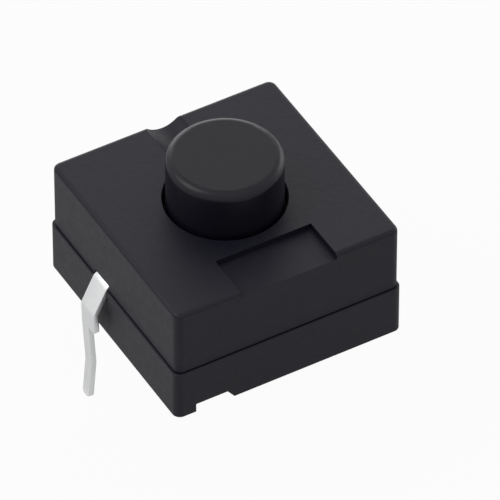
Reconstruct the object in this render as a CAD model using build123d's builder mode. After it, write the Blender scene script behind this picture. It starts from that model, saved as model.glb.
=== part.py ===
from build123d import *
from math import atan2, cos, degrees, radians, sin
import os

# Square push-on, push-off switch with a round button and two through-hole legs.
# Millimetres. The origin is the middle of the base's underside, which sits on the board, and +Z is up.
# The button slides down along Z and its crown of ramps turns the ratchet rotor on the base's post.
# The rotor carries a four-armed wiper that joins the two terminals at every second step.
# At rest the wiper lies one step before the contacts, so the switch is off.

# ---- Casing ----
cover_side = 12.0          # outside of the cover, square
base_proud = 0.1           # of the base's outside beyond the cover's, all round
body_height = 6.55         # board to top face
seam_z = 2.85              # where cover and base meet
wall = 0.9                 # side walls
top_wall = 1.0             # thickness of the cover's top
floor_wall = 0.8           # thickness of the base's floor
upright_radius = 0.4       # rounding of the four upright corners
rim_radius = 0.22          # rounding round the top face
base_edge = 0.12           # chamfer round the base's underside
seam_bevel = 0.05          # chamfer along both edges of the seam
fit_gap = 0.05             # running clearance between moving pieces
seat_gap = 0.02            # clearance of a peg in its hole

# ---- Corner pegs that locate the cover on the base ----
peg_radius = 0.45
peg_height = 1.5
boss_radius = 0.9
peg_inset = 0.4            # of the peg's axis from each wall of the cavity

# ---- Top face: label pocket at the front edge, round groove at the back edge ----
pocket_width = 5.14
pocket_reach = 2.42        # from the front face inwards
pocket_depth = 0.3
groove_radius = 1.2
groove_depth = 0.46

# ---- Drain notch in the base's front edge, one side upright and one slanted ----
notch_inset = 1.06         # upright side, in from the base's left face
notch_width = 2.14         # along the base's underside
notch_height = 0.6
notch_slant = 0.45
notch_reach = 0.9          # from the front face inwards

# ---- Button ----
button_radius = 2.8
button_rise = 2.65         # above the cover's top face
button_rounding = 0.42
button_stroke = 1.6        # full travel
hole_gap = 0.15            # round the button, in the cover's top
hole_chamfer = 0.05
flange_ledge = 0.8         # of the flange beyond the button
flange_height = 0.75
key_width = 0.9
key_reach = 0.5            # of each key beyond the flange
key_count = 4
tube_wall = 0.8            # guide tube that hangs from the cover's top
sleeve_wall = 0.38         # button wall round the crown

# ---- Ratchet: ramps on the rotor and on the button's crown ----
tooth_count = 8
tooth_inner = 1.7
tooth_backlash = 2.0       # degrees taken off the steep end of each ramp
ramp_steps = 6
rotor_radius = 3.0
rotor_underside = 1.9
rotor_thickness = 0.8

# ---- Post, spring and washer ----
post_radius = 0.8
post_top = 4.6
post_chamfer = 0.2
hub_radius = 1.3
wire_diameter = 0.25
spring_radius = 1.325      # of the wire's centre line
spring_turns = 6
spring_bore = 1.6          # bore of the button round the spring
cap_wall = 1.6             # of the button above the spring's bore
washer_thickness = 0.15
washer_radius = 1.5

# ---- Terminals: one strip each, over the base's wall and down outside it ----
strip_thickness = 0.3
strip_edge = 0.54          # nearest long edge of the strip to the centre plane
strip_width = 1.21
strip_end = 2.5            # inner end of the strip, from the centre plane
strip_slot_gap = 0.05      # round the strip where it leaves the cover
brow_inset = 0.15          # the strip turns down this far inside the base's outer face
elbow_out = 0.58           # and turns upright this far outside it
elbow_drop = 1.5           # below the strip's run over the wall
leg_out = 0.55             # middle of the leg at its shoulder, outside the base's face
kink_out = 0.4             # middle of the leg at its retaining kink
kink_depth = 2.2           # of the kink below the board face
tip_out = 0.58             # middle of the leg's tip
leg_width = 0.6
leg_length = 4.35          # below the board face
shoulder_z = 0.4           # height of the leg's shoulder above the board
inner_bend_radius = 0.2    # of the strip's middle line, inside the switch
brow_radius = 0.35
elbow_radius = 0.45
leg_bend_radius = 1.5
leg_tip_chamfer = 0.14
relief_inset = 0.35        # bevel of the wall's top under the strip, inwards
relief_drop = 0.65         # and downwards

# ---- Contacts ----
contact_x = 3.2            # fixed contact, from the centre plane
fixed_contact_radius = 0.55
fixed_contact_height = 0.25
shank_radius = 0.25
wiper_thickness = 0.2
wiper_ring_radius = 2.1
wiper_arm_width = 0.9
wiper_drop = 0.2           # how far the arms' ends lie below the ring
wiper_contact_radius = 0.4
wiper_peg_radius = 0.25
wiper_peg_circle = 1.75
wiper_peg_length = 0.35
wiper_arms = 4
wiper_arm_root = 1.7       # where each arm starts under the ring, from the axis
wiper_end_rounding = 0.4
rivet_dome = 0.06          # rounding of the moving contacts' heads
rivet_bevel = 0.08         # bevel of the fixed contacts' heads

# ---- Worked out from the sizes above ----
cover_half = cover_side / 2
base_side = cover_side + 2 * base_proud
base_half = base_side / 2
notch_left = base_half - notch_inset
cavity_side = cover_side - 2 * wall
cavity_top = body_height - top_wall
peg_offset = cavity_side / 2 - peg_inset
button_top = body_height + button_rise
spring_pocket_top = button_top - cap_wall
hole_radius = button_radius + hole_gap
flange_radius = button_radius + flange_ledge
tube_inner = flange_radius + 2 * fit_gap
tube_outer = tube_inner + tube_wall
key_tip = flange_radius + key_reach
flange_top = cavity_top - fit_gap
flange_bottom = flange_top - flange_height
tube_bottom = flange_bottom - button_stroke
tooth_pitch = 360 / tooth_count
tooth_cut = button_stroke * tooth_backlash / tooth_pitch
ramp_root = rotor_underside + rotor_thickness
ramp_tip = ramp_root + button_stroke
crown_lift = button_stroke + fit_gap
crown_root = ramp_tip + crown_lift
crown_roof = crown_root + sleeve_wall
sleeve_bore = button_radius - sleeve_wall
tooth_outer = sleeve_bore - seat_gap
ledge_top = rotor_underside - wiper_thickness - fit_gap
spring_bottom = ramp_root + washer_thickness
strip_outer_edge = strip_edge + strip_width
strip_middle = strip_edge + strip_width / 2
strip_half = strip_thickness / 2
floor_strip_top = floor_wall + strip_thickness
fixed_contact_top = floor_strip_top + fixed_contact_height
contact_circle = (contact_x**2 + strip_middle**2) ** 0.5
contact_angle = degrees(atan2(strip_middle, -contact_x))
wiper_angle = contact_angle - tooth_pitch        # of the first arm, one step before the fixed contact
peg_angle = wiper_angle + 180 / wiper_arms
wiper_end_top = rotor_underside - wiper_drop
wiper_end_bottom = wiper_end_top - wiper_thickness
wiper_contact_bottom = fixed_contact_top + fit_gap


def ramp(inner, outer, low_start, low_end, high_start, high_end, start, end):
    """Sector of a ring between two angles, in degrees, whose lower and upper faces are helical."""
    with BuildPart() as sector:
        for step in range(ramp_steps + 1):
            share = step / ramp_steps
            angle = radians(start + (end - start) * share)
            low = low_start + (low_end - low_start) * share
            high = high_start + (high_end - high_start) * share
            section = Plane((0, 0, 0), x_dir=(cos(angle), sin(angle), 0), z_dir=(sin(angle), -cos(angle), 0))
            with BuildSketch(section):
                with Locations(((inner + outer) / 2, (low + high) / 2)):
                    Rectangle(outer - inner, high - low)
        loft(ruled=True)
    return sector.part


def build_base():
    """Open tray with four pegs, the rotor's post and the drain notch."""
    relief_edge = base_half - relief_inset
    with BuildPart() as base:
        with BuildSketch():
            RectangleRounded(base_side, base_side, upright_radius)
        extrude(amount=seam_z)
        chamfer(base.faces().sort_by(Axis.Z)[0].edges(), base_edge)
        chamfer(base.faces().sort_by(Axis.Z)[-1].edges(), seam_bevel)
        with BuildSketch(Plane.XY.offset(floor_wall)):
            Rectangle(cavity_side, cavity_side)
        extrude(amount=seam_z - floor_wall, mode=Mode.SUBTRACT)
        with BuildSketch(Plane.XY.offset(floor_wall)):
            with GridLocations(2 * peg_offset, 2 * peg_offset, 2, 2):
                Circle(boss_radius)
        extrude(amount=seam_z - floor_wall)
        with BuildSketch(Plane.XY.offset(seam_z)):
            with GridLocations(2 * peg_offset, 2 * peg_offset, 2, 2):
                Circle(peg_radius)
        extrude(amount=peg_height)
        with BuildSketch(Plane.XY.offset(floor_wall)):
            Circle(hub_radius)
        extrude(amount=ledge_top - floor_wall)
        with BuildSketch(Plane.XY.offset(floor_wall)):
            Circle(post_radius)
        extrude(amount=post_top - floor_wall)
        post_end = base.faces().filter_by(GeomType.PLANE).sort_by(Axis.Z)[-1]
        chamfer(post_end.edges(), post_chamfer)
        # drain notch, open to the front face
        with BuildSketch(Plane.XZ.offset(base_half)):
            with BuildLine():
                Polyline(
                    (-notch_left, 0), (-notch_left, notch_height),
                    (-notch_left + notch_width - notch_slant, notch_height), (-notch_left + notch_width, 0),
                    close=True,
                )
            make_face()
        extrude(amount=-notch_reach, mode=Mode.SUBTRACT)
        # the wall's top is bevelled where each strip turns down over it
        with BuildSketch(Plane.XZ.offset(-strip_edge + strip_slot_gap)):
            with BuildLine():
                Polyline(
                    (-relief_edge, seam_z), (-base_half, seam_z), (-base_half, seam_z - relief_drop),
                    close=True,
                )
            make_face()
        bevel = extrude(amount=-strip_width - 2 * strip_slot_gap, mode=Mode.PRIVATE)
        with PolarLocations(0, 2):
            add(bevel, mode=Mode.SUBTRACT)
    base.part.label = "base"
    return base


def build_cover():
    """Lid with the button's hole, a keyed guide tube and the two marks in its top face."""
    key_slot = tube_wall - key_reach / 2
    with BuildPart() as cover:
        with BuildSketch(Plane.XY.offset(seam_z)):
            RectangleRounded(cover_side, cover_side, upright_radius)
        extrude(amount=body_height - seam_z)
        fillet(cover.faces().sort_by(Axis.Z)[-1].edges(), rim_radius)
        chamfer(cover.faces().sort_by(Axis.Z)[0].edges(), seam_bevel)
        with BuildSketch(Plane.XY.offset(seam_z)):
            Rectangle(cavity_side, cavity_side)
        extrude(amount=cavity_top - seam_z, mode=Mode.SUBTRACT)
        with BuildSketch(Plane.XY.offset(tube_bottom)):
            Circle(tube_outer)
        extrude(amount=cavity_top - tube_bottom)
        with BuildSketch(Plane.XY.offset(tube_bottom)):
            Circle(tube_inner)
            with PolarLocations(key_tip + fit_gap - key_slot / 2, key_count):
                Rectangle(key_slot, key_width + 2 * fit_gap)
        extrude(amount=cavity_top - tube_bottom, mode=Mode.SUBTRACT)
        with BuildSketch(Plane.XY.offset(seam_z)):
            with GridLocations(2 * peg_offset, 2 * peg_offset, 2, 2):
                Circle(boss_radius)
        extrude(amount=cavity_top - seam_z)
        with BuildSketch(Plane.XY.offset(seam_z)):
            with GridLocations(2 * peg_offset, 2 * peg_offset, 2, 2):
                Circle(peg_radius + seat_gap)
        extrude(amount=peg_height + seat_gap, mode=Mode.SUBTRACT)
        with BuildSketch(Plane.XY.offset(cavity_top)):
            Circle(hole_radius)
        extrude(amount=top_wall, mode=Mode.SUBTRACT)
        round_edges = cover.edges().filter_by(GeomType.CIRCLE)
        hole_rims = round_edges.filter_by(lambda edge: abs(edge.radius - hole_radius) < seat_gap)
        chamfer(hole_rims.sort_by(Axis.Z)[-1], hole_chamfer)
        # label pocket, open to the front face
        with Locations((0, -cover_half + pocket_reach / 2, body_height - pocket_depth / 2)):
            Box(pocket_width, pocket_reach, pocket_depth, mode=Mode.SUBTRACT)
        # round groove from the back edge to the button's hole
        with BuildSketch(Plane.XZ.offset(-cover_half)):
            with Locations((0, body_height - groove_depth + groove_radius)):
                Circle(groove_radius)
        extrude(amount=cover_half, mode=Mode.SUBTRACT)
        # the strips leave through slots in the lower edge
        slot_height = strip_thickness + strip_slot_gap
        with PolarLocations(cover_half - wall / 2, 2, start_angle=180):
            with Locations((0, -strip_middle, seam_z + slot_height / 2)):
                Box(2 * wall, strip_width + 2 * strip_slot_gap, slot_height, mode=Mode.SUBTRACT)
    cover.part.label = "cover"
    return cover


def build_button():
    """Round cap with a keyed flange and, inside, a crown of ramps round the spring's bore."""
    tooth = ramp(
        spring_bore, button_radius - sleeve_wall / 2,
        ramp_root + crown_lift + tooth_cut, ramp_tip + crown_lift,
        crown_roof, crown_roof, tooth_backlash, tooth_pitch,
    )
    with BuildPart() as button:
        with BuildSketch(Plane.XY.offset(flange_bottom)):
            Circle(button_radius)
        extrude(amount=button_top - flange_bottom)
        fillet(button.faces().sort_by(Axis.Z)[-1].edges(), button_rounding)
        with BuildSketch(Plane.XY.offset(flange_bottom)):
            Circle(flange_radius)
            with PolarLocations(key_tip - key_reach, key_count):
                Rectangle(2 * key_reach, key_width)
        extrude(amount=flange_height)
        with BuildSketch(Plane.XY.offset(flange_bottom)):
            Circle(sleeve_bore)
        extrude(amount=crown_root - flange_bottom, mode=Mode.SUBTRACT)
        with PolarLocations(0, tooth_count):
            add(tooth)
        with BuildSketch(Plane.XY.offset(ramp_root)):
            Circle(spring_bore)
        extrude(amount=spring_pocket_top - ramp_root, mode=Mode.SUBTRACT)
    button.part.label = "button"
    return button


def build_rotor():
    """Disc that turns on the base's post, with ramps on top and pegs for the wiper underneath."""
    tooth_foot = rotor_underside + rotor_thickness / 2
    tooth = ramp(
        tooth_inner, tooth_outer, tooth_foot, tooth_foot,
        ramp_root, ramp_tip - tooth_cut, 0, tooth_pitch - tooth_backlash,
    )
    hub_bottom = ledge_top + fit_gap / 2
    with BuildPart() as rotor:
        with BuildSketch(Plane.XY.offset(rotor_underside)):
            Circle(rotor_radius)
        extrude(amount=rotor_thickness)
        with PolarLocations(0, tooth_count):
            add(tooth)
        with BuildSketch(Plane.XY.offset(hub_bottom)):
            Circle(hub_radius)
        extrude(amount=rotor_underside - hub_bottom)
        with BuildSketch(Plane.XY.offset(rotor_underside)):
            with PolarLocations(wiper_peg_circle, wiper_arms, start_angle=peg_angle):
                Circle(wiper_peg_radius)
        extrude(amount=-wiper_peg_length)
        with BuildSketch(Plane.XY.offset(hub_bottom)):
            Circle(post_radius + fit_gap)
        extrude(amount=ramp_root - hub_bottom, mode=Mode.SUBTRACT)
    rotor.part.label = "rotor"
    return rotor


def build_wiper_plate():
    """Sheet ring with sprung arms, each one bent down towards its end."""
    arm_flat = contact_circle - wiper_contact_radius
    arm_tip = contact_circle + wiper_arm_width / 2
    ring_bottom = rotor_underside - wiper_thickness
    with BuildPart() as arm:
        with BuildSketch(Plane.XZ):
            with BuildLine():
                Polyline(
                    (wiper_arm_root, rotor_underside), (wiper_ring_radius, rotor_underside),
                    (arm_flat, wiper_end_top), (arm_tip, wiper_end_top), (arm_tip, wiper_end_bottom),
                    (arm_flat, wiper_end_bottom), (wiper_ring_radius, ring_bottom),
                    (wiper_arm_root, ring_bottom),
                    close=True,
                )
            make_face()
        extrude(amount=wiper_arm_width / 2, both=True)
        fillet(arm.edges().filter_by(Axis.Z).group_by(Axis.X)[-1], wiper_end_rounding)
    with BuildPart() as wiper:
        with BuildSketch(Plane.XY.offset(ring_bottom)):
            Circle(wiper_ring_radius)
        extrude(amount=wiper_thickness)
        with PolarLocations(0, wiper_arms, start_angle=wiper_angle):
            add(arm.part)
        with BuildSketch(Plane.XY.offset(wiper_end_bottom)):
            Circle(hub_radius + seat_gap)
            with PolarLocations(wiper_peg_circle, wiper_arms, start_angle=peg_angle):
                Circle(wiper_peg_radius + seat_gap)
            with PolarLocations(contact_circle, wiper_arms, start_angle=wiper_angle):
                Circle(shank_radius)
        extrude(amount=rotor_underside - wiper_end_bottom, mode=Mode.SUBTRACT)
    wiper.part.label = "wiper_plate"
    return wiper


def build_wiper_contact(index):
    """Domed rivet in the end of one wiper arm."""
    angle = radians(wiper_angle + index * 360 / wiper_arms)
    centre = (contact_circle * cos(angle), contact_circle * sin(angle))
    with BuildPart() as contact:
        with BuildSketch(Plane.XY.offset(wiper_contact_bottom)):
            with Locations(centre):
                Circle(wiper_contact_radius)
        extrude(amount=wiper_end_bottom - wiper_contact_bottom)
        fillet(contact.faces().sort_by(Axis.Z)[0].edges(), rivet_dome)
        with BuildSketch(Plane.XY.offset(wiper_end_bottom)):
            with Locations(centre):
                Circle(shank_radius)
        extrude(amount=wiper_thickness)
    contact.part.label = f"wiper_contact_{index + 1}"
    return contact


def build_terminal():
    """Left-hand strip: along the floor, up the wall, over it, out and down as the leg."""
    riser = cavity_side / 2 - fit_gap - strip_half
    over_wall = seam_z + strip_half
    corners = (
        (-strip_end, strip_middle, floor_wall + strip_half),
        (-riser, strip_middle, floor_wall + strip_half),
        (-riser, strip_middle, over_wall),
        (-base_half + brow_inset, strip_middle, over_wall),
        (-base_half - elbow_out, strip_middle, over_wall - elbow_drop),
        (-base_half - leg_out, strip_middle, shoulder_z),
        (-base_half - kink_out, strip_middle, -kink_depth),
        (-base_half - tip_out, strip_middle, -leg_length),
    )
    inner_radii = (inner_bend_radius, inner_bend_radius)
    radii = (*inner_radii, brow_radius, elbow_radius, leg_bend_radius, leg_bend_radius)
    with BuildPart() as strip:
        with BuildLine() as route:
            FilletPolyline(*corners, radius=radii)
        with BuildSketch(Plane(route.line @ 0, x_dir=(0, 1, 0), z_dir=route.line % 0)):
            Rectangle(strip_width, strip_thickness)
        sweep()
        # below the shoulder only the leg is left, on the strip's outer edge
        with Locations((-base_half - leg_out, strip_outer_edge - leg_width, shoulder_z)):
            Box(
                base_half, strip_width, 2 * leg_length, align=(Align.CENTER, Align.MAX, Align.MAX),
                mode=Mode.SUBTRACT,
            )
        tip = strip.faces().sort_by(Axis.Z)[0]
        chamfer(tip.edges().sort_by(Axis.Y)[0], leg_tip_chamfer)
        tip = strip.faces().sort_by(Axis.Z)[0]
        chamfer(tip.edges().sort_by(Axis.Y)[-1], leg_tip_chamfer)
        with BuildSketch(Plane.XY.offset(floor_wall)):
            with Locations((-contact_x, strip_middle)):
                Circle(shank_radius)
        extrude(amount=strip_thickness, mode=Mode.SUBTRACT)
    return strip


def build_fixed_contact():
    """Flat rivet in the inner end of the left-hand strip."""
    with BuildPart() as contact:
        with BuildSketch(Plane.XY.offset(floor_strip_top)):
            with Locations((-contact_x, strip_middle)):
                Circle(fixed_contact_radius)
        extrude(amount=fixed_contact_height)
        chamfer(contact.faces().sort_by(Axis.Z)[-1].edges(), rivet_bevel)
        with BuildSketch(Plane.XY.offset(floor_wall)):
            with Locations((-contact_x, strip_middle)):
                Circle(shank_radius)
        extrude(amount=strip_thickness)
    return contact


def build_washer():
    """Thin ring between the spring and the turning rotor."""
    with BuildPart() as washer:
        with BuildSketch(Plane.XY.offset(ramp_root)):
            Circle(washer_radius)
            Circle(post_radius + fit_gap, mode=Mode.SUBTRACT)
        extrude(amount=washer_thickness)
    washer.part.label = "spring_washer"
    return washer


def build_spring():
    """Coil that stands between the washer and the roof of the button's bore."""
    length = spring_pocket_top - spring_bottom - wire_diameter
    with BuildPart() as spring:
        with BuildLine() as coil:
            foot = (0, 0, spring_bottom + wire_diameter / 2)
            Helix(length / spring_turns, length, spring_radius, center=foot)
        with BuildSketch(Plane(coil.line @ 0, z_dir=coil.line % 0)):
            Circle(wire_diameter / 2)
        sweep()
    spring.part.label = "return_spring"
    return spring


os.makedirs("parts", exist_ok=True)
pieces = [build_base(), build_cover(), build_button(), build_rotor()]
pieces += [build_wiper_plate(), build_washer(), build_spring()]
pieces += [build_wiper_contact(index) for index in range(wiper_arms)]
for piece in pieces:
    export_step(piece.part, f"parts/{piece.part.label}.step")

# the right-hand terminal and its contact are the left-hand ones turned half a turn about Z
half_turn = Location((0, 0, 0), (0, 0, 180))
for kind, left_piece in (("terminal", build_terminal()), ("fixed_contact", build_fixed_contact())):
    for hand, place in (("left", Location()), ("right", half_turn)):
        copy = left_piece.part.moved(place)
        copy.label = f"{hand}_{kind}"
        export_step(copy, f"parts/{copy.label}.step")
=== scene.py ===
# %% [markdown]
# # A square pushbutton switch
# This is a small black switch that is soldered to a circuit board. It has two moulded shells, a round
# button that slides, and two tin-plated legs. The sizes are tiny, so the whole lesson is in metres with
# a helper that turns millimetres into them. The frame is the finished construction: the pieces stand
# where they belong, and this script gives them their surfaces, remakes the legs and the spring with
# finer edges, and sets up a small white table with lamps round it.

# %% Load the frame
import math

import bmesh
import bpy
import numpy as np
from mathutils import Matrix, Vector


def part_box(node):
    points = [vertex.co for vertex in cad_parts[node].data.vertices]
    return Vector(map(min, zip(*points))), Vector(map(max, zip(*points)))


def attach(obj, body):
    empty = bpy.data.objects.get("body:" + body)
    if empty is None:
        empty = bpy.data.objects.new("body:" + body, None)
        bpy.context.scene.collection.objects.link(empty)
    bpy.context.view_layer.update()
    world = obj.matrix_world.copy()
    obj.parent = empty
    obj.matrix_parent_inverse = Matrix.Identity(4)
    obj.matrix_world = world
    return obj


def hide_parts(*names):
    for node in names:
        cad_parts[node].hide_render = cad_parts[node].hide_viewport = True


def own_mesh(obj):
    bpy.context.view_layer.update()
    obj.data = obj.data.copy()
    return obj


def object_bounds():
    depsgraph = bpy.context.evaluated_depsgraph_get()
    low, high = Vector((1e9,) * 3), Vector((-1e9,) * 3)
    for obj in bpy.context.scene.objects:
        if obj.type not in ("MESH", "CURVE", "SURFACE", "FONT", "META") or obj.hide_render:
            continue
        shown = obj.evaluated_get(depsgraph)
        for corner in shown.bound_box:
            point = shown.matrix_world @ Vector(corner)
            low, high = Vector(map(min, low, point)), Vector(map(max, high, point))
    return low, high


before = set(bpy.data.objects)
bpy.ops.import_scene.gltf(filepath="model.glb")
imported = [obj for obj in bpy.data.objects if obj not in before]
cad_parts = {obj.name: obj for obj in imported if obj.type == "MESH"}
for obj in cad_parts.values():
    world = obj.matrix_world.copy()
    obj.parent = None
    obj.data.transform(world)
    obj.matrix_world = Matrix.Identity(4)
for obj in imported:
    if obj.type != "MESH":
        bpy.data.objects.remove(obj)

MM = 0.001
CAD_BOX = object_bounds()
print("frame box in mm", [[round(float(v) / MM, 3) for v in corner] for corner in CAD_BOX])


def node_box(node):
    """Lowest and highest corner of a frame node, as two arrays in millimetres."""
    low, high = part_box(node)
    return np.array(low, dtype=float) / MM, np.array(high, dtype=float) / MM


# %% [markdown]
# ## The camera comes first
# A macro lens far from a small thing gives an almost parallel view, which is how parts like this are
# shown in catalogues. The camera is placed by the direction it looks from: a turn round the upright
# axis and a height above the table. Two small slides, to the right and up, set the framing.

# %% Camera
CAMERA_TURN = -29.87        # degrees, seen from above
CAMERA_HEIGHT = 43.81       # degrees above the table
CAMERA_DISTANCE = 400.0     # millimetres
CAMERA_SLIDE = (1.17, 2.22)
LENS = 608.5                # millimetres, on a 36 mm sensor


def place_camera():
    """Looks against the unit vector (sin a cos e, -cos a cos e, sin e), where a is the turn, e the height."""
    turn = math.radians(CAMERA_TURN)
    height = math.radians(CAMERA_HEIGHT)
    back = np.array([math.sin(turn) * math.cos(height), -math.cos(turn) * math.cos(height), math.sin(height)])
    right = np.array([math.cos(turn), math.sin(turn), 0.0])
    up = np.cross(back, right)
    spot = (back * CAMERA_DISTANCE + right * CAMERA_SLIDE[0] + up * CAMERA_SLIDE[1]) * MM
    data = bpy.data.cameras.new("camera")
    data.type = "PERSP"
    data.sensor_width = 36.0
    data.lens = LENS
    data.clip_start = 0.01
    data.clip_end = 50.0
    camera = bpy.data.objects.new("camera", data)
    camera.location = spot
    camera.rotation_euler = (math.pi / 2 - height, 0.0, turn)
    bpy.context.collection.objects.link(camera)
    bpy.context.scene.camera = camera
    return camera


place_camera()
bpy.context.scene.view_settings.view_transform = "Standard"


# %% [markdown]
# ## Helpers for shapes
# Every new surface here is a grid of points worked out with numpy: rows run along the piece and columns
# run round it. One helper joins the grid into faces, another sweeps a closed outline along a path.

# %% Grid meshes
def grid_faces(rows, columns):
    """Quads between neighbouring rows of a grid whose columns close into a ring."""
    row = np.arange(rows - 1)[:, None]
    column = np.arange(columns)[None, :]
    after = (column + 1) % columns
    quads = np.stack([row * columns + column, row * columns + after,
                      (row + 1) * columns + after, (row + 1) * columns + column], axis=-1)
    return quads.reshape(-1, 4)


def ring_mesh(name, grid, material):
    """Mesh object from a rows x columns x 3 grid in millimetres, with a fan of faces closing each end."""
    rows, columns, _ = grid.shape
    ends = np.stack([grid[0].mean(axis=0), grid[-1].mean(axis=0)])
    points = np.concatenate([grid.reshape(-1, 3), ends]) * MM
    ring = np.arange(columns)
    after = (ring + 1) % columns
    first, last = rows * columns, rows * columns + 1
    base = (rows - 1) * columns
    fans = np.concatenate([np.stack([after, ring, np.full(columns, first)], axis=-1),
                           np.stack([base + ring, base + after, np.full(columns, last)], axis=-1)])
    mesh = bpy.data.meshes.new(name)
    mesh.from_pydata(points.tolist(), [], grid_faces(rows, columns).tolist() + fans.tolist())
    mesh.materials.append(material)
    mesh.update()
    piece = bpy.data.objects.new(name, mesh)
    bpy.context.collection.objects.link(piece)
    print(name, "faces", len(mesh.polygons))
    return piece


def fix_winding(piece):
    """Turns every face outwards."""
    mesh = piece.data
    work = bmesh.new()
    work.from_mesh(mesh)
    bmesh.ops.recalc_face_normals(work, faces=work.faces)
    work.to_mesh(mesh)
    work.free()


def smooth_by_angle(piece, degrees):
    """Smooth shading, with every edge sharper than the given angle kept crisp."""
    mesh = piece.data
    mesh.shade_smooth()
    mesh.set_sharp_from_angle(angle=math.radians(degrees))


# %% [markdown]
# ## Finishes
# All the finishes share two effects, so each is a node group that is built once: a fine moulded grain,
# which is two sizes of noise turned into a small height, and a brushed streak, which is noise stretched
# along one axis. A group gives out only masks and heights. Each material then has its own shader.

# %% Node helpers
def new_material(name):
    """Empty node material with a shader and an output: returns the material, nodes, links and shader."""
    material = bpy.data.materials.new(name)
    material.use_nodes = True
    nodes, links = material.node_tree.nodes, material.node_tree.links
    nodes.clear()
    output = nodes.new("ShaderNodeOutputMaterial")
    shader = nodes.new("ShaderNodeBsdfPrincipled")
    links.new(shader.outputs["BSDF"], output.inputs["Surface"])
    return material, nodes, links, shader


def noise_at(nodes, links, source, scale, detail=2.0):
    """Noise texture of a scale given in cycles per metre, read at the given coordinates."""
    noise = nodes.new("ShaderNodeTexNoise")
    noise.inputs["Scale"].default_value = scale
    noise.inputs["Detail"].default_value = detail
    links.new(source, noise.inputs["Vector"])
    return noise.outputs["Fac"]


def range_of(nodes, links, source, low, high):
    """The source, which runs from 0 to 1, spread from low to high."""
    spread = nodes.new("ShaderNodeMapRange")
    spread.inputs["To Min"].default_value = low
    spread.inputs["To Max"].default_value = high
    links.new(source, spread.inputs["Value"])
    return spread.outputs["Result"]


def tint_between(nodes, links, mask, dark, light):
    """Colour that goes from dark to light as the mask goes from 0 to 1."""
    tint = nodes.new("ShaderNodeMix")
    tint.data_type = "RGBA"
    tint.inputs[6].default_value = (*dark, 1.0)
    tint.inputs[7].default_value = (*light, 1.0)
    links.new(mask, tint.inputs[0])
    return tint.outputs[2]


# %% Shared grain group
PATCH_SCALE = 260.0         # all scales are in cycles per metre
FINE_GRAIN = 9000.0
COARSE_GRAIN = 2600.0


def make_grain_group():
    """Height is half of fine noise plus half of coarse noise. Patches is very coarse noise."""
    group = bpy.data.node_groups.new("moulded_grain", "ShaderNodeTree")
    group.interface.new_socket("Fine scale", in_out="INPUT", socket_type="NodeSocketFloat")
    group.interface.new_socket("Coarse scale", in_out="INPUT", socket_type="NodeSocketFloat")
    group.interface.new_socket("Height", in_out="OUTPUT", socket_type="NodeSocketFloat")
    group.interface.new_socket("Patches", in_out="OUTPUT", socket_type="NodeSocketFloat")
    nodes, links = group.nodes, group.links
    given = nodes.new("NodeGroupInput")
    result = nodes.new("NodeGroupOutput")
    place = nodes.new("ShaderNodeTexCoord")
    fine = nodes.new("ShaderNodeTexNoise")
    coarse = nodes.new("ShaderNodeTexNoise")
    patches = nodes.new("ShaderNodeTexNoise")
    blend = nodes.new("ShaderNodeMix")
    patches.inputs["Scale"].default_value = PATCH_SCALE
    patches.inputs["Detail"].default_value = 1.0
    fine.inputs["Detail"].default_value = 3.0
    coarse.inputs["Detail"].default_value = 2.0
    for noise in (fine, coarse, patches):
        links.new(place.outputs["Object"], noise.inputs["Vector"])
    links.new(given.outputs["Fine scale"], fine.inputs["Scale"])
    links.new(given.outputs["Coarse scale"], coarse.inputs["Scale"])
    links.new(fine.outputs["Fac"], blend.inputs[2])
    links.new(coarse.outputs["Fac"], blend.inputs[3])
    links.new(blend.outputs[0], result.inputs["Height"])
    links.new(patches.outputs["Fac"], result.inputs["Patches"])
    return group


GRAIN = make_grain_group()


def add_grain(nodes, fine, coarse):
    """Places the grain group with its own scales and returns its node."""
    grain = nodes.new("ShaderNodeGroup")
    grain.node_tree = GRAIN
    grain.inputs["Fine scale"].default_value = fine
    grain.inputs["Coarse scale"].default_value = coarse
    return grain


def bump(nodes, links, height, shader, distance, strength):
    """A height in metres becomes a change of the shader's normal."""
    node = nodes.new("ShaderNodeBump")
    node.inputs["Distance"].default_value = distance
    node.inputs["Strength"].default_value = strength
    links.new(height, node.inputs["Height"])
    links.new(node.outputs["Normal"], shader.inputs["Normal"])


# %% [markdown]
# ### Black plastic
# The shells and the button are glass-filled nylon: a bluish black with a fine spark-eroded grain. Black
# plastic is seen mostly by what it mirrors, so the roughness matters more than the colour. The grain
# blurs it, and slow patches change it a little, as flow in a mould does.

# %% Plastic
PLASTIC_SHINE = 0.34
GRAIN_STRENGTH = 0.6


def plastic(name, dark, light, rough_low, rough_high, grain_depth):
    """Moulded plastic: patches move the colour from dark to light, the grain makes height and roughness."""
    material, nodes, links, shader = new_material(name)
    shader.inputs["Specular IOR Level"].default_value = PLASTIC_SHINE
    grain = add_grain(nodes, FINE_GRAIN, COARSE_GRAIN)
    colour = tint_between(nodes, links, grain.outputs["Patches"], dark, light)
    roughness = range_of(nodes, links, grain.outputs["Height"], rough_low, rough_high)
    links.new(colour, shader.inputs["Base Color"])
    links.new(roughness, shader.inputs["Roughness"])
    bump(nodes, links, grain.outputs["Height"], shader, grain_depth * MM, GRAIN_STRENGTH)
    return material


shell_black = plastic("shell_black", (0.0040, 0.0040, 0.0104), (0.0066, 0.0064, 0.0148),
                      0.36, 0.60, 0.02)
button_black = plastic("button_black", (0.0040, 0.0039, 0.0090), (0.0062, 0.0060, 0.0125),
                       0.28, 0.44, 0.012)
rotor_white = plastic("rotor_white", (0.62, 0.60, 0.54), (0.70, 0.68, 0.62), 0.35, 0.5, 0.01)


# %% [markdown]
# ### Metals
# The legs are brass strip with a bright tin plate, which is soft and slightly uneven. The roller leaves
# faint streaks along the strip. The spring and its washer are steel, the moving contact sheet is
# phosphor bronze and its rivets are silver. They differ in colour, in roughness and in the streaks.

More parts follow.
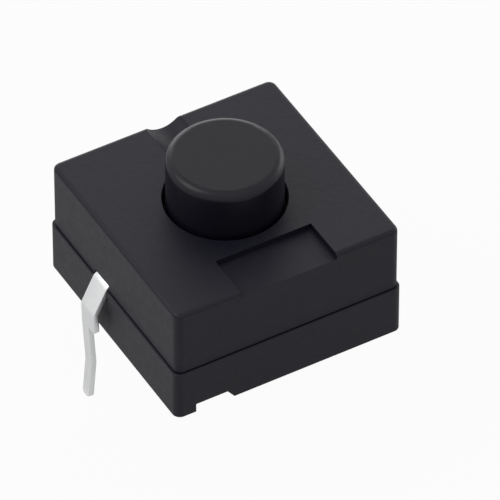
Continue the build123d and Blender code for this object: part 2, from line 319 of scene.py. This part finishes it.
# %% Shared streak group
STREAK_SCALE = 1000.0
STREAK_DETAIL = 4.0
CLOUD_SCALE = 900.0
STREAK_STRENGTH = 0.5


def make_streak_group():
    """Lines is noise squeezed by the three numbers in Stretch. Clouds is the same noise, unsqueezed."""
    group = bpy.data.node_groups.new("rolled_streaks", "ShaderNodeTree")
    group.interface.new_socket("Stretch", in_out="INPUT", socket_type="NodeSocketVector")
    group.interface.new_socket("Lines", in_out="OUTPUT", socket_type="NodeSocketFloat")
    group.interface.new_socket("Clouds", in_out="OUTPUT", socket_type="NodeSocketFloat")
    nodes, links = group.nodes, group.links
    given = nodes.new("NodeGroupInput")
    result = nodes.new("NodeGroupOutput")
    place = nodes.new("ShaderNodeTexCoord")
    squeeze = nodes.new("ShaderNodeMapping")
    links.new(place.outputs["Object"], squeeze.inputs["Vector"])
    links.new(given.outputs["Stretch"], squeeze.inputs["Scale"])
    lines = noise_at(nodes, links, squeeze.outputs["Vector"], STREAK_SCALE, STREAK_DETAIL)
    clouds = noise_at(nodes, links, place.outputs["Object"], CLOUD_SCALE)
    links.new(lines, result.inputs["Lines"])
    links.new(clouds, result.inputs["Clouds"])
    return group


STREAKS = make_streak_group()


# %% Metal
def metal(name, dark, light, rough_low, rough_high, stretch, depth):
    """Metal: clouds move the colour from dark to light, the streaks make the height and the roughness."""
    material, nodes, links, shader = new_material(name)
    shader.inputs["Metallic"].default_value = 1.0
    streaks = nodes.new("ShaderNodeGroup")
    streaks.node_tree = STREAKS
    streaks.inputs["Stretch"].default_value = stretch
    colour = tint_between(nodes, links, streaks.outputs["Clouds"], dark, light)
    roughness = range_of(nodes, links, streaks.outputs["Lines"], rough_low, rough_high)
    links.new(colour, shader.inputs["Base Color"])
    links.new(roughness, shader.inputs["Roughness"])
    bump(nodes, links, streaks.outputs["Lines"], shader, depth * MM, STREAK_STRENGTH)
    return material


tin_plate = metal("tin_plate", (0.90, 0.91, 0.92), (0.965, 0.97, 0.97),
                  0.30, 0.50, (6.0, 9.0, 0.8), 0.01)
spring_steel = metal("spring_steel", (0.50, 0.50, 0.51), (0.66, 0.66, 0.67),
                     0.22, 0.38, (4.0, 4.0, 4.0), 0.004)
bronze_sheet = metal("bronze_sheet", (0.70, 0.42, 0.25), (0.83, 0.52, 0.33),
                     0.25, 0.42, (8.0, 1.0, 8.0), 0.004)
rivet_silver = metal("rivet_silver", (0.80, 0.79, 0.76), (0.90, 0.89, 0.86),
                     0.15, 0.30, (3.0, 3.0, 3.0), 0.003)

FINISHES = {
    "base": shell_black, "cover": shell_black, "button": button_black, "rotor": rotor_white,
    "wiper_plate": bronze_sheet, "spring_washer": spring_steel, "return_spring": spring_steel,
    "left_fixed_contact": rivet_silver, "right_fixed_contact": rivet_silver,
    "left_terminal": tin_plate, "right_terminal": tin_plate,
}
for number in range(1, 5):
    FINISHES[f"wiper_contact_{number}"] = rivet_silver

for node, finish in FINISHES.items():
    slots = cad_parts[node].material_slots
    for place in slots:
        place.material = finish
    if not slots:
        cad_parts[node].data.materials.append(finish)
print("finished nodes", len(FINISHES), "of", len(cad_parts))


# %% [markdown]
# ## The legs
# Each terminal is one strip, sheared from sheet, so its long edges are slightly rounded and its ends are
# square. It is made by sweeping a rounded rectangle along the strip's middle line. The line is straight
# runs joined by arcs, and at the shoulder the rectangle steps from the full width to the leg's width.

# %% Strip sizes, in millimetres
STRIP_THICKNESS = 0.3
LEG_WIDTH = 0.6
SHEARED_EDGE = 0.045
SHOULDER_Z = 0.4
TIP_ROUNDING = 0.14
SHELL_WALL = 0.9            # thickness of the shells' side walls
RISER_GAP = 0.05            # between the strip and the inside of the wall
BROW_INSET = 0.15           # the strip turns down this far inside the base's outer face
ELBOW_OUT = 0.58            # outside that face, and this far down
ELBOW_DROP = 1.5
LEG_OUT = 0.55              # middle of the leg at its shoulder, at its kink and at its tip
KINK_OUT = 0.4
TIP_OUT = 0.58
KINK_DEPTH = 2.2
LEG_LENGTH = 4.35
BEND_RADII = (0.2, 0.2, 0.35, 0.45, 1.5, 1.5)
BEND_STEPS = 9
TIP_STEPS = 6
STRIP_CREASE = 40           # degrees, past which an edge stays crisp


# %% Strip path
def rounded_path(corners, radii, steps):
    """Points along straight runs whose inner corners are arcs, each tangent to both of its runs.

    An arc of radius r at a corner that turns by t starts r tan(t/2) before it and ends as far after it.
    """
    corners = np.asarray(corners, dtype=float)
    pieces = [corners[:1]]
    for spot, before, after, radius in zip(corners[1:-1], corners[:-2], corners[2:], radii):
        into = (spot - before) / np.linalg.norm(spot - before)
        out = (after - spot) / np.linalg.norm(after - spot)
        turn = math.acos(float(np.clip(into @ out, -1.0, 1.0)))
        inward = (out - into) / np.linalg.norm(out - into)
        centre = spot + inward * radius / math.cos(turn / 2)
        side = (spot - into * radius * math.tan(turn / 2) - centre) / radius
        angle = np.linspace(0.0, turn, steps)[:, None]
        pieces.append(centre + radius * (side * np.cos(angle) + into * np.sin(angle)))
    pieces.append(corners[-1:])
    return np.concatenate(pieces)


def strip_section(width, thickness, edge, steps=4):
    """Outline of a rounded rectangle: four quarter circles of radius edge, as (across, through) pairs."""
    quarter = np.linspace(0.0, math.pi / 2, steps)
    outline = []
    for index, (side, face) in enumerate([(1, 1), (-1, 1), (-1, -1), (1, -1)]):
        angle = quarter + index * math.pi / 2
        centre = np.array([side * (width / 2 - edge), face * (thickness / 2 - edge)])
        outline.append(centre + edge * np.stack([np.cos(angle), np.sin(angle)], axis=-1))
    return np.concatenate(outline)


def strip_grid():
    """Rows of the strip's section along its middle line, in the left-hand terminal's place.

    The line lies in an upright plane. Each section stands square to it, its width along Y. Two rows share
    the shoulder's place, one of each width, and the last rows narrow as a quarter circle to round the tip.
    """
    low, high = node_box("left_terminal")
    wall_out, wall_in = -node_box("base")[0][0], node_box("cover")[1][0] - SHELL_WALL
    half = STRIP_THICKNESS / 2
    shelf_z = node_box("left_fixed_contact")[0][2] + half
    over_z = high[2] - half
    riser_x = -wall_in + RISER_GAP + half
    corners = [
        (high[0], shelf_z), (riser_x, shelf_z), (riser_x, over_z), (-wall_out + BROW_INSET, over_z),
        (-wall_out - ELBOW_OUT, over_z - ELBOW_DROP), (-wall_out - LEG_OUT, SHOULDER_Z),
        (-wall_out - KINK_OUT, -KINK_DEPTH), (-wall_out - TIP_OUT, -LEG_LENGTH),
    ]
    line = rounded_path(corners, BEND_RADII, BEND_STEPS)
    cut = int(np.argmax((line[:, 1] < SHOULDER_Z) & (line[:, 0] < -wall_out)))
    share = (SHOULDER_Z - line[cut - 1, 1]) / (line[cut, 1] - line[cut - 1, 1])
    shoulder = line[cut - 1] + share * (line[cut] - line[cut - 1])
    last = (line[-1] - line[-2]) / np.linalg.norm(line[-1] - line[-2])
    lean = np.linspace(0.0, math.pi / 2, TIP_STEPS + 1)
    tip = line[-1] - last * (TIP_ROUNDING * (1.0 - np.sin(lean)))[:, None]
    line = np.concatenate([line[:cut], [shoulder, shoulder], line[cut:-1], tip])
    step = np.gradient(np.concatenate([line[:cut + 1], line[cut + 2:]]), axis=0)
    step = np.insert(step, cut + 1, step[cut], axis=0)
    step /= np.linalg.norm(step, axis=1)[:, None]
    width = np.full(len(line), high[1] - low[1])
    width[cut + 1:] = LEG_WIDTH
    width[-len(tip):] -= 2 * TIP_ROUNDING * (1.0 - np.cos(lean))
    middle = np.full(len(line), (low[1] + high[1]) / 2)
    middle[cut + 1:] = high[1] - LEG_WIDTH / 2
    rows = [strip_section(size, STRIP_THICKNESS, SHEARED_EDGE) for size in width]
    section = np.array(rows)
    x = line[:, None, 0] - step[:, None, 1] * section[:, :, 1]
    y = middle[:, None] + section[:, :, 0]
    z = line[:, None, 1] + step[:, None, 0] * section[:, :, 1]
    return np.stack([x, y, z], axis=-1)


# %% Both terminals
def build_terminals():
    """The left strip, and the same strip turned half a turn about Z: x and y change sign."""
    grid = strip_grid()
    for hand, turn in (("left", (1, 1, 1)), ("right", (-1, -1, 1))):
        piece = ring_mesh(f"{hand}_terminal_strip", grid * turn, tin_plate)
        fix_winding(piece)
        smooth_by_angle(piece, STRIP_CREASE)
        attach(piece, "housing")
        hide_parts(f"{hand}_terminal")


build_terminals()


# %% [markdown]
# ## The spring
# The coil stands between the washer and the roof of the button's bore. A real compression spring has a
# last turn at each end that lies flat, so that it stands square. The wire's middle line is a circle whose
# height rises slowly in the end turns and evenly between them.

# %% Spring
COIL_TURNS = 7.0
FLAT_TURNS = 1.0
WIRE = 0.25
TURN_STEPS = 40
WIRE_STEPS = 12
WIRE_CREASE = 60


def coil_grid(low, high):
    """Rows round a wire whose middle line turns at a fixed radius.

    Its height is the sum of its rise: one wire thickness a turn in the flat end turns, and an even larger
    rise between them that fills the height. Each row is a circle in the plane of the axis and the wire.
    """
    radius = (high[0] - low[0]) / 2 - WIRE / 2
    turn = np.linspace(0.0, COIL_TURNS, int(COIL_TURNS * TURN_STEPS) + 1)
    tall = high[2] - low[2] - WIRE
    open_turns = COIL_TURNS - 2 * FLAT_TURNS
    open_rise = (tall - 2 * FLAT_TURNS * WIRE) / open_turns
    height = np.interp(turn, [0.0, FLAT_TURNS, COIL_TURNS - FLAT_TURNS, COIL_TURNS],
                       [0.0, FLAT_TURNS * WIRE, FLAT_TURNS * WIRE + open_turns * open_rise, tall])
    angle = turn * 2 * math.pi
    outward = np.stack([np.cos(angle), np.sin(angle), np.zeros_like(angle)], axis=-1)
    middle = outward * radius + np.stack([np.zeros_like(height)] * 2 + [low[2] + WIRE / 2 + height], axis=-1)
    around = np.linspace(0.0, 2 * math.pi, WIRE_STEPS, endpoint=False)
    ring_out = (WIRE / 2 * np.cos(around))[None, :, None] * outward[:, None, :]
    ring_up = (WIRE / 2 * np.sin(around))[None, :, None] * np.array([0.0, 0.0, 1.0])
    return middle[:, None, :] + ring_out + ring_up


def build_spring():
    """Coil in the place of the frame's spring."""
    low, high = node_box("return_spring")
    piece = ring_mesh("coil_spring", coil_grid(low, high), spring_steel)
    fix_winding(piece)
    smooth_by_angle(piece, WIRE_CREASE)
    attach(piece, "housing")
    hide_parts("return_spring")
    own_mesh(piece)


build_spring()


# %% [markdown]
# ## The table
# The floor is a white sheet just under the tips of the legs. The camera sees it nearly pure white, with
# only the shadow left in, and the metal and the plastic mirror part of that white, so that the legs look
# bright. Black plastic gets nearly all its shape from what it mirrors, so the lamps are large and soft.

# %% Floor
FLOOR_HALF = 250.0
FLOOR_WHITE = 0.9
FLOOR_GAP = 0.02            # below the tips of the legs
FLOOR_ROUGHNESS = 0.8
FLOOR_SHINE = 0.2
SHOWN_WHITE = 0.95          # share of plain white in what the camera sees of the floor
MIRRORED_WHITE = 0.25       # and in what metal and plastic mirror of it


def background_rays(nodes, links, seen, mirrored):
    """Share of plain background: seen for camera rays, mirrored for glossy and transmission rays, else 0."""
    rays = nodes.new("ShaderNodeLightPath")
    largest = None
    shares = {"Is Camera Ray": seen, "Is Glossy Ray": mirrored, "Is Transmission Ray": mirrored}
    for ray, share in shares.items():
        part = nodes.new("ShaderNodeMath")
        part.operation = "MULTIPLY"
        part.inputs[1].default_value = share
        links.new(rays.outputs[ray], part.inputs[0])
        if largest is None:
            largest = part
            continue
        larger = nodes.new("ShaderNodeMath")
        larger.operation = "MAXIMUM"
        links.new(largest.outputs[0], larger.inputs[0])
        links.new(part.outputs[0], larger.inputs[1])
        largest = larger
    return largest.outputs[0]


def build_floor():
    """Square sheet under the legs: mostly plain white where it is seen, partly so where it is mirrored."""
    material, nodes, links, shader = new_material("table_sheet")
    shader.inputs["Base Color"].default_value = (FLOOR_WHITE, FLOOR_WHITE, FLOOR_WHITE, 1.0)
    shader.inputs["Roughness"].default_value = FLOOR_ROUGHNESS
    shader.inputs["Specular IOR Level"].default_value = FLOOR_SHINE
    output = next(node for node in nodes if node.type == "OUTPUT_MATERIAL")
    glow = nodes.new("ShaderNodeEmission")
    mix = nodes.new("ShaderNodeMixShader")
    links.new(background_rays(nodes, links, SHOWN_WHITE, MIRRORED_WHITE), mix.inputs[0])
    links.new(shader.outputs["BSDF"], mix.inputs[1])
    links.new(glow.outputs["Emission"], mix.inputs[2])
    links.new(mix.outputs["Shader"], output.inputs["Surface"])
    level = CAD_BOX[0][2] - FLOOR_GAP * MM
    half = FLOOR_HALF * MM
    mesh = bpy.data.meshes.new("table_sheet")
    corners = [(-half, -half, level), (half, -half, level), (half, half, level), (-half, half, level)]
    mesh.from_pydata(corners, [], [(0, 1, 2, 3)])
    mesh.materials.append(material)
    sheet = bpy.data.objects.new("table_sheet", mesh)
    bpy.context.collection.objects.link(sheet)


build_floor()


# %% Surroundings and lamps
ROOM_LIGHT = 0.28
ROOM_MIRRORED = 0.722        # share of the way from that to white, in what the finishes mirror


def build_world():
    """Even white room: plain white for camera rays, a little less where mirrored, and softer as a lamp."""
    world = bpy.data.worlds.new("room")
    bpy.context.scene.world = world
    world.use_nodes = True
    nodes, links = world.node_tree.nodes, world.node_tree.links
    nodes.clear()
    output = nodes.new("ShaderNodeOutputWorld")
    strength = nodes.new("ShaderNodeMapRange")
    strength.inputs["To Min"].default_value = ROOM_LIGHT
    strength.inputs["To Max"].default_value = 1.0
    background = nodes.new("ShaderNodeBackground")
    background.inputs["Color"].default_value = (1.0, 1.0, 1.0, 1.0)
    links.new(background_rays(nodes, links, 1.0, ROOM_MIRRORED), strength.inputs["Value"])
    links.new(strength.outputs["Result"], background.inputs["Strength"])
    links.new(background.outputs["Background"], output.inputs["Surface"])


def add_lamp(name, turn, height, distance, size, power):
    """Square lamp that faces the object from a turn and a height, in degrees, millimetres and watts."""
    turn, height = math.radians(turn), math.radians(height)
    back = np.array([math.sin(turn) * math.cos(height), -math.cos(turn) * math.cos(height), math.sin(height)])
    data = bpy.data.lights.new(name, "AREA")
    data.shape = "SQUARE"
    data.size = size * MM
    data.energy = power
    lamp = bpy.data.objects.new(name, data)
    lamp.location = back * distance * MM
    lamp.rotation_euler = (math.pi / 2 - height, 0.0, turn)
    bpy.context.collection.objects.link(lamp)


build_world()
add_lamp("key", -112.0, 50.0, 160.0, 90.0, 0.062)
add_lamp("fill", 0.0, 70.0, 200.0, 160.0, 0.012)
add_lamp("back", 160.0, 8.0, 180.0, 140.0, 0.12)
add_lamp("right", 100.0, 12.0, 180.0, 100.0, 0.05)
